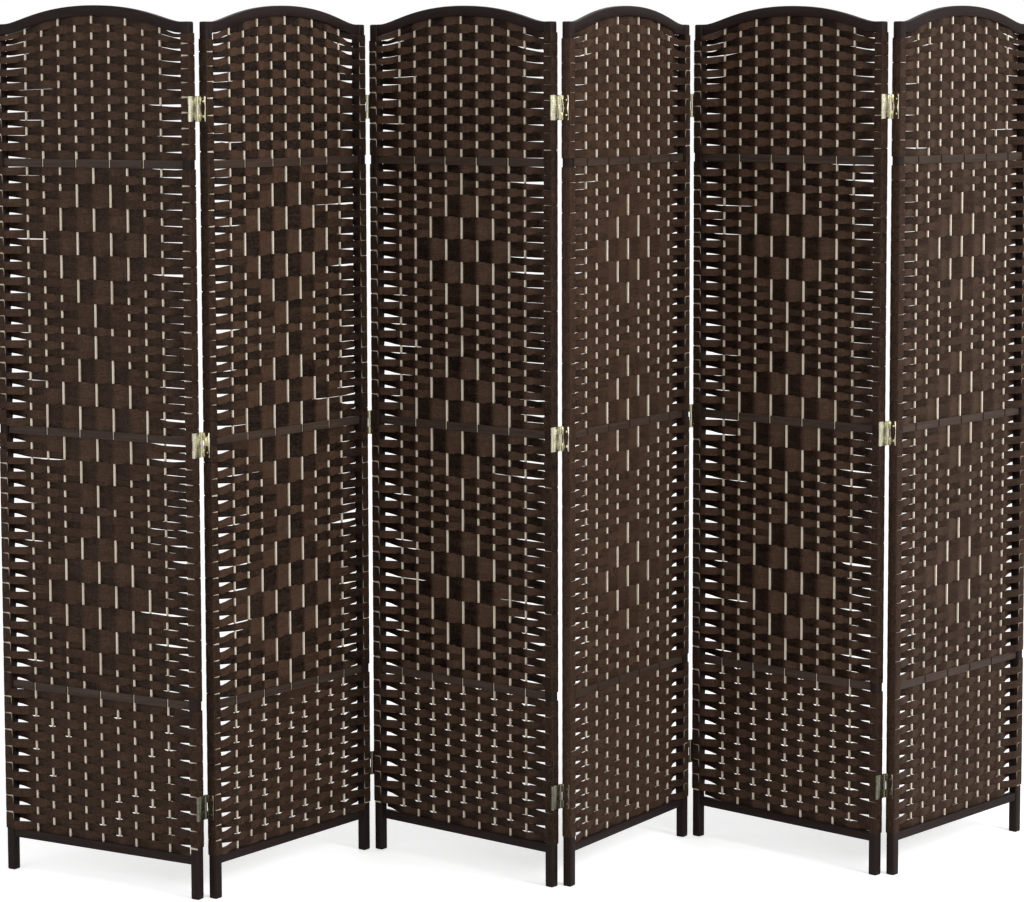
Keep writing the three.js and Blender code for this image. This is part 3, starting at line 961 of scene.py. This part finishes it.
def wrap_line(panel, rows, k, tone, rng):
    """The strip's way round a post from row k to the row below it. It spreads over the post, and the post's
    front and back faces are covered by one height of strip."""
    weave, sizes = bpy.context.scene.screen_weave, bpy.context.scene.screen_frame
    side = 1 if k % 2 == 0 else -1
    half = sizes.post_side / 2
    lead = half + weave.post_room + weave.strip_thickness / 2
    corner = weave.corner + weave.strip_thickness / 2
    flat = lead - corner
    start = -side
    face = [(-half + (flat + half) * t, start * lead, 0, start) for t in (0.0, 0.03, 0.1, 0.4, 0.7, 1)]
    turn_out = []
    for angle in np.linspace(0, math.pi / 2, 5)[1:]:
        s, c = math.sin(angle), math.cos(angle)
        turn_out.append((flat + corner * s, start * (flat + corner * c), s, start * c))
    edge = []
    for t in (-0.6, -0.2, 0.2, 0.6):
        edge.append((lead + weave.bulge * math.cos(t * math.pi / 2), -start * flat * t, 1, 0))
    first_half = face + turn_out
    second_half = [(x, -y, nx, -ny) for x, y, nx, ny in reversed(first_half)]
    path = np.array(first_half + edge + second_half)
    x = side * (sizes.post_centre + path[:, 0])
    y = path[:, 1]
    share_round = np.linspace(0, 1, len(path))
    end = np.array([side * sizes.post_centre])
    upper, lower = ([float(row_edge(row, n, end)[0]) for n in (0, 1)] for row in rows[k:k + 2])
    joint = (upper[0] + lower[1]) / 2
    reach = (upper[1] - lower[0]) / 2
    slit = rng.uniform(0.5, 1.0) * weave.slit * POST_SLITS[panel][(side + 1) // 2]
    lean = rng.uniform(-0.5, 0.5) * MM
    spread = reach - slit * (1 - 0.7 * (path[:, 0] + half) / (lead + half))
    across = 1 - smooth((path[:, 0] + half) / (0.2 * half))
    draws = [edge_draw(panel, rows, n) for n in (k, k + 1)]
    above = [upper[0] + draws[0], upper[1]]
    below = [lower[0], lower[1] - draws[1]]
    near = np.where((share_round < 0.5)[:, None], [above], [below])
    bottom = near[:, 0] * across + (joint - spread + lean) * (1 - across)
    top = near[:, 1] * across + (joint + spread + lean) * (1 - across)
    outward = np.column_stack([side * path[:, 2], path[:, 3]])
    tones = tone[k] + (tone[k + 1] - tone[k]) * share_round
    # The strip keeps one face to the post all the way round, so its sideways direction follows the path.
    sideways = outward * -start
    # Painted shade: the loops round the post are painted darker than the rows. A reversed panel's painted
    # light changes sign later.
    shadow = 0.35 * (1 - across) + 0.25 * (np.abs(outward[:, 0]) > 0.5)
    slope = shadow if panel in REVERSED_PANELS else -shadow
    return x, y, bottom, top, slope, tones, sideways


def add_weave(panel, tree):
    """All the rows of a panel as one woven strip."""
    x, y, bottom, top, slope, tone, sideways = panel_line(panel)
    if panel in REVERSED_PANELS:
        y, slope = -y, -slope
        sideways = sideways * [1, -1]
    # The painted sheen is scaled for each panel, and the panel's paleness is added to it.
    slope = slope * PANEL_SHEEN[panel] + PANEL_TONE[panel]
    steps = np.hypot(np.diff(x), np.diff(y))
    along = np.concatenate([[0], np.cumsum(steps)])
    place = PANEL_PLACES[panel]
    foot = put(np.column_stack([x, y, (top + bottom) / 2]), place)
    outward = turn(np.column_stack([sideways, np.zeros(len(x))]), place)
    edges = [(n, n + 1) for n in range(len(foot) - 1)]
    piece = line_object(
        f"panel_{panel}_woven_strip", foot, edges,
        top=top, bottom=bottom, slope=slope, row_tone=tone, along=along, foot=foot, sideways=outward,
    )
    thickness = bpy.context.scene.screen_weave.strip_thickness
    made_by(tree, piece, material(woven_fibre), thickness=thickness)
    for key in ("top", "bottom", "foot", "sideways", "side"):
        piece.data.attributes.remove(piece.data.attributes[key])
    outward_faces(piece)
    finished(shade(piece, 75), f"panel_{panel}", "weave", f"panel_{panel}_woven_infill")


def outward_faces(piece):
    """Turns the faces of closed shells outwards."""
    mesh = bmesh.new()
    mesh.from_mesh(piece.data)
    bmesh.ops.recalc_face_normals(mesh, faces=mesh.faces)
    mesh.to_mesh(piece.data)
    mesh.free()


def add_sticks(panel, tree):
    """The nine upright sticks of a panel."""
    sticks = bpy.context.scene.screen_sticks
    rng = np.random.default_rng(500 + panel)
    bottom = RAIL_LEVELS["bottom_rail"][1] - STICK_IN_BOTTOM_RAIL
    points, edges, turns, grain = [], [], [], []
    place = PANEL_PLACES[panel]
    heading = math.atan2(place[1][1], place[1][0])
    for x in stick_places():
        top = float(ARCH_UNDERSIDE(x)) + STICK_IN_TOP_RAIL
        levels = np.linspace(bottom, top, 8)
        base = len(points)
        points += [(x, 0, z) for z in levels]
        edges += [(base + i, base + i + 1) for i in range(len(levels) - 1)]
        turns += [heading] * len(levels)
        shift = rng.uniform(0, 1)
        grain += [(z + shift, x * 3, shift) for z in levels]
    piece = line_object(f"panel_{panel}_sticks", put(points, place), edges, turn=turns, grain=grain)
    made_by(tree, piece, material(natural_wood), side=sticks.side, eased_corner=STICK_CORNER)
    outward_faces(piece)
    finished(shade(piece), f"panel_{panel}", "weave")


# ---- the hinges ----

# The two posts without hinges, as panel and side.
OUTER_ENDS = ((1, -1), (6, 1))
EASED_EDGE = 0.35 * MM
# How far the screws sit from the middle of their leaf.
SCREW_OFFSET = 1.5 * MM
# The rings of a screw's head from its foot up, each as a share of its radius and a level.
SCREW_DOME = ((1.0, -0.2 * MM), (1.0, 0.05 * MM), (0.75, 0.28 * MM), (0.35, 0.36 * MM))


def unit_circle(sides):
    """The corners of an even polygon, anticlockwise."""
    angles = np.linspace(0, 2 * math.pi, sides, endpoint=False)
    return np.column_stack([np.cos(angles), np.sin(angles)])


def eased_levels(low, high):
    """The levels of an upright piece with eased ends, each with how far its outline draws in there."""
    return (low, EASED_EDGE), (low + EASED_EDGE, 0), (high - EASED_EDGE, 0), (high, EASED_EDGE)


def cylinder(radius, low, high, centre, sides=20):
    """An upright round bar with eased ends."""
    rings = []
    for z, inset in eased_levels(low, high):
        rings.append(np.column_stack([unit_circle(sides) * (radius - inset) + centre, np.full(sides, z)]))
    return swept(rings)


def plate(x0, x1, half_width, low, high, y_middle=0.0):
    """A flat upright plate with eased edges, thin along x."""
    rings = []
    middle, half = (x0 + x1) / 2, abs(x1 - x0) / 2
    for z, inset in eased_levels(low, high):
        ring = round_corners(half - inset * 0.5, half_width - inset, EASED_EDGE, 2)
        rings.append(np.column_stack([ring + [middle, y_middle], np.full(len(ring), z)]))
    return swept(rings)


def add_knuckle(build, x0, x1, edge, pivot, low, high):
    """A knuckle round a pivot, with the tongue that joins it to the edge of its plate."""
    reach, side = abs(pivot[1]), math.copysign(1, pivot[1])
    build.add(*plate(x0, x1, (reach - edge) / 2, low, high, y_middle=side * (reach + edge) / 2))
    build.add(*cylinder(bpy.context.scene.screen_hinges.knuckle_radius, low, high, pivot))


def add_leaves(panel, side_name):
    """The hinge leaves on one post, with their outer knuckles and their pins."""
    look, sizes = bpy.context.scene.screen_hinges, bpy.context.scene.screen_frame
    side = -1 if side_name == "left" else 1
    face = side * (sizes.post_centre + sizes.post_side / 2)
    x0, x1 = face - side * look.leaf_bite, face + side * look.leaf_thickness
    pivot = np.array([face + side * look.joint_gap / 2, -side * look.pivot_offset])
    knuckle = HINGE_HEIGHT / 3
    build = Build()
    for level in HINGE_LEVELS.values():
        low, high = level - HINGE_HEIGHT / 2, level + HINGE_HEIGHT / 2
        build.add(*plate(x0, x1, look.leaf_half_width, low, high))
        for z0, z1 in ((low, low + knuckle - SEAT_GAP), (high - knuckle + SEAT_GAP, high)):
            add_knuckle(build, x0, x1, look.leaf_half_width - look.leaf_bite, pivot, z0, z1)
        build.add(*cylinder(look.pin_radius, low + knuckle / 2, high - knuckle / 2, pivot, 12))
    name = f"panel_{panel}_{side_name}_hinge_leaves"
    piece = build.piece(name, material(hinge_brass), PANEL_PLACES[panel])
    finished(shade(piece), f"panel_{panel}", "hinges")


def add_links(joint):
    """The three middle plates of a joint's hinges, with a knuckle at each edge."""
    look = bpy.context.scene.screen_hinges
    half = look.leaf_thickness / 2
    build = Build()
    nodes = []
    for place, level in HINGE_LEVELS.items():
        nodes.append(f"joint_{joint}_{place}_hinge_link")
        low, high = level - HINGE_HEIGHT / 2, level + HINGE_HEIGHT / 2
        build.add(*plate(-half, half, look.link_half_width, low, high))
        low, high = level - HINGE_HEIGHT / 6, level + HINGE_HEIGHT / 6
        for y in (-look.pivot_offset, look.pivot_offset):
            add_knuckle(build, -half, half, look.link_half_width, np.array([0, y]), low, high)
    piece = build.piece(f"joint_{joint}_hinge_links", material(hinge_brass), LINK_PLACES[joint])
    finished(shade(piece), f"joint_{joint}_links", "hinges", *nodes)


def screw_head():
    """A low domed screw head, a template for the copies."""
    radius = bpy.context.scene.screen_hinges.screw_radius
    circle = unit_circle(12)
    rings = [np.column_stack([circle * r * radius, np.full(len(circle), z)]) for r, z in SCREW_DOME]
    points, faces = swept(rings)
    head = mesh_object("screw_head_template", points, faces, material(hinge_brass))
    return shade(head)


def add_screws(panel, tree, head):
    """Two screws in each leaf of a panel."""
    look, sizes = bpy.context.scene.screen_hinges, bpy.context.scene.screen_frame
    rng = np.random.default_rng(900 + panel)
    points, facing = [], []
    for side in (-1, 1):
        if (panel, side) in OUTER_ENDS:
            continue
        x = side * (sizes.post_centre + sizes.post_side / 2 + look.leaf_thickness)
        for level in HINGE_LEVELS.values():
            for z in (-HINGE_HEIGHT * 0.3, HINGE_HEIGHT * 0.3):
                points.append((x, side * SCREW_OFFSET, level + z))
                facing.append((side, 0, 0))
    place = PANEL_PLACES[panel]
    piece = line_object(
        f"panel_{panel}_hinge_screws", put(points, place), [],
        facing=turn(facing, place), spin=rng.uniform(0, math.pi, len(points)),
    )
    made_by(tree, piece, material(hinge_brass), screw_head=head)
    finished(shade(piece), f"panel_{panel}", "hinges")


# ---- operators ----

class SCREEN_OT_posts(bpy.types.Operator):
    """Adds the twelve posts"""

    bl_idname = "screen.posts"
    bl_label = "Add posts"

    def execute(self, context):
        for panel in PANEL_NUMBERS:
            for side_name in ("left", "right"):
                add_post(panel, side_name)
        return {"FINISHED"}


class SCREEN_OT_rails(bpy.types.Operator):
    """Adds the arched top rails, the bottom rails, the cross rails and the battens"""

    bl_idname = "screen.rails"
    bl_label = "Add rails"

    def execute(self, context):
        sizes = context.scene.screen_frame
        batten = (BATTEN_LEVEL - BATTEN_HEIGHT / 2, BATTEN_LEVEL + BATTEN_HEIGHT / 2)
        batten_half = sizes.post_centre - sizes.post_side / 2 - BATTEN_ROOM
        bottom, top = RAIL_LEVELS["bottom_rail"]
        for panel in PANEL_NUMBERS:
            facing = -1 if panel in REVERSED_PANELS else 1
            add_bar(panel, "top_rail", ARCH_UNDERSIDE, ARCH_TOP)
            add_bar(panel, "bottom_rail", lambda x: bottom, lambda x: top)
            for kind, first in (("lower_rail", -facing), ("upper_rail", facing)):
                span, half = RAIL_LEVELS[kind], sizes.rail_half_length
                add_slotted_rail(panel, kind, span, first, half, f"panel_{panel}_{kind}")
            add_slotted_rail(panel, "batten", batten, facing, batten_half)
        return {"FINISHED"}


class SCREEN_OT_sticks(bpy.types.Operator):
    """Adds the upright sticks"""

    bl_idname = "screen.sticks"
    bl_label = "Add sticks"

    def execute(self, context):
        tree = stick_tree()
        for panel in PANEL_NUMBERS:
            add_sticks(panel, tree)
        return {"FINISHED"}


class SCREEN_OT_weave(bpy.types.Operator):
    """Adds the woven strips"""

    bl_idname = "screen.weave"
    bl_label = "Add weave"

    def execute(self, context):
        tree = strip_tree()
        for panel in PANEL_NUMBERS:
            add_weave(panel, tree)
        return {"FINISHED"}


class SCREEN_OT_hinges(bpy.types.Operator):
    """Adds the leaves, links, pins and screws of the hinges"""

    bl_idname = "screen.hinges"
    bl_label = "Add hinges"

    def execute(self, context):
        for joint in JOINT_NUMBERS:
            add_links(joint)
            add_leaves(joint, "right")
            add_leaves(joint + 1, "left")
        tree, head = screw_tree(), screw_head()
        for panel in PANEL_NUMBERS:
            add_screws(panel, tree, head)
        bpy.data.objects.remove(head)
        return {"FINISHED"}


class SCREEN_OT_stage(bpy.types.Operator):
    """Adds the floor, the lamps, the surround and the camera"""

    bl_idname = "screen.stage"
    bl_label = "Add stage"

    def execute(self, context):
        add_floor(context.scene)
        add_lights(context.scene)
        add_camera(context.scene)
        return {"FINISHED"}


# ---- the stage ----

# The camera that took the photograph: its picture's width and focal length in pixels, where it stands,
# and where it looks, in degrees.
IMAGE_WIDTH = 1024
FOCAL_PIXELS = 3000
CAMERA_PLACE = (-0.8691, -6.1139, 1.6401)
CAMERA_YAW = 7.695
CAMERA_PITCH = 5.127
CAMERA_ROLL = -0.153
CAMERA_SHIFT = (0.0, -0.1)
SENSOR_WIDTH = 36
# How far the floor reaches, and how much it glows to the camera so that it melts into the background.
FLOOR_REACH = 40
FLOOR_GLOW = 0.46
# The lamps: power setting, width of the disk and place. All of them aim at the middle of the screen.
LAMPS = {
    "key_light": ("key_power", 2.6, (3.6, -3.8, 3.4)),
    "fill_light": ("fill_power", 3.0, (-4.2, -3.2, 2.6)),
}
SCREEN_MIDDLE = Vector((0, 0, 0.9))
WHITE = (1, 1, 1, 1)


def add_floor(scene):
    look = scene.screen_studio
    s = Shader("pale_floor")
    place = s.node("ShaderNodeTexCoord")["Object"]
    fine = s.noise(place, 60, 3, 0.5)
    tone = s.mix(s.ranged(fine, 0.3, 0.7, 0, 0.02), tuple(look.floor), (0.8, 0.8, 0.8))
    seen = s.node("ShaderNodeLightPath")["Is Camera Ray"]
    finish = s.finish({
        "Base Color": tone,
        "Roughness": 0.9,
        "Specular IOR Level": 0.1,
        "Emission Color": WHITE,
        "Emission Strength": s.math("MULTIPLY", seen, FLOOR_GLOW),
    })
    corners = [(x * FLOOR_REACH, y * FLOOR_REACH, 0) for x, y in ((-1, -1), (1, -1), (1, 1), (-1, 1))]
    mesh_object("floor", corners, [(0, 1, 2, 3)], finish)


def add_lights(scene):
    look = scene.screen_studio
    world = bpy.data.worlds.new("surround")
    scene.world = world
    world.use_nodes = True
    surround = Nodes(world.node_tree)
    surround.tree.nodes.clear()
    # The screen is lit by the even light. The camera, mirrors and glass see plain white.
    rays = surround.node("ShaderNodeLightPath")
    seen = surround.math("MAXIMUM", rays["Is Camera Ray"], rays["Is Glossy Ray"])
    seen = surround.math("MAXIMUM", seen, rays["Is Transmission Ray"])
    even, plain = (
        surround.node("ShaderNodeBackground", {"Color": WHITE, "Strength": strength})[0]
        for strength in (look.surround, 1.0)
    )
    mixed = surround.node("ShaderNodeMixShader", {0: seen, 1: even, 2: plain})[0]
    surround.node("ShaderNodeOutputWorld", {"Surface": mixed})
    for name, (power, width, place) in LAMPS.items():
        lamp = bpy.data.lights.new(name, "AREA")
        lamp.energy, lamp.size = getattr(look, power), width
        lamp.shape = "DISK"
        light = bpy.data.objects.new(name, lamp)
        light.location = place
        aim = SCREEN_MIDDLE - light.location
        light.rotation_euler = aim.to_track_quat("-Z", "Y").to_euler()
        scene.collection.objects.link(light)


def add_camera(scene):
    data = bpy.data.cameras.new("camera")
    data.sensor_fit = "HORIZONTAL"
    data.sensor_width = SENSOR_WIDTH
    data.lens = FOCAL_PIXELS / IMAGE_WIDTH * SENSOR_WIDTH
    data.shift_x, data.shift_y = CAMERA_SHIFT
    camera = bpy.data.objects.new("camera", data)
    camera.location = CAMERA_PLACE
    yaw, pitch, roll = (math.radians(a) for a in (CAMERA_YAW, CAMERA_PITCH, CAMERA_ROLL))
    forward = Vector((math.sin(yaw) * math.cos(pitch), math.cos(yaw) * math.cos(pitch), -math.sin(pitch)))
    aimed = forward.to_track_quat("-Z", "Y").to_matrix()
    camera.rotation_euler = (aimed @ Matrix.Rotation(roll, 3, "Z")).to_euler()
    scene.collection.objects.link(camera)
    scene.camera = camera
    scene.view_settings.view_transform = "Standard"


# ---- add-on ----

STEPS = (
    SCREEN_OT_posts, SCREEN_OT_rails, SCREEN_OT_sticks, SCREEN_OT_weave, SCREEN_OT_hinges,
    SCREEN_OT_stage,
)


class SCREEN_PT_pieces(bpy.types.Panel):
    """Lists the steps that build the screen"""

    bl_idname = "SCREEN_PT_pieces"
    bl_label = "Folding screen"
    bl_space_type = "VIEW_3D"
    bl_region_type = "UI"
    bl_category = "Screen"

    def draw(self, context):
        for step in STEPS:
            self.layout.operator(step.bl_idname)
        for key in GROUPS:
            box = self.layout.box()
            group = getattr(context.scene, key)
            for name in group.bl_rna.properties.keys():
                if name not in ("rna_type", "name"):
                    box.prop(group, name)


GROUPS = {
    "screen_frame": ScreenFrame,
    "screen_sticks": ScreenSticks,
    "screen_weave": ScreenWeave,
    "screen_hinges": ScreenHinges,
    "screen_studio": ScreenStudio,
}


CLASSES = (*GROUPS.values(), *STEPS, SCREEN_PT_pieces)


def register():
    for kind in CLASSES:
        bpy.utils.register_class(kind)
    for key, group in GROUPS.items():
        setattr(bpy.types.Scene, key, bpy.props.PointerProperty(type=group))


def unregister():
    for key in GROUPS:
        delattr(bpy.types.Scene, key)
    for kind in reversed(CLASSES):
        bpy.utils.unregister_class(kind)


def main():
    register()
    bpy.ops.screen.posts()
    bpy.ops.screen.rails()
    bpy.ops.screen.sticks()
    bpy.ops.screen.weave()
    bpy.ops.screen.hinges()
    bpy.ops.screen.stage()
    bpy.context.view_layer.update()


if __name__ == "__main__":
    main()
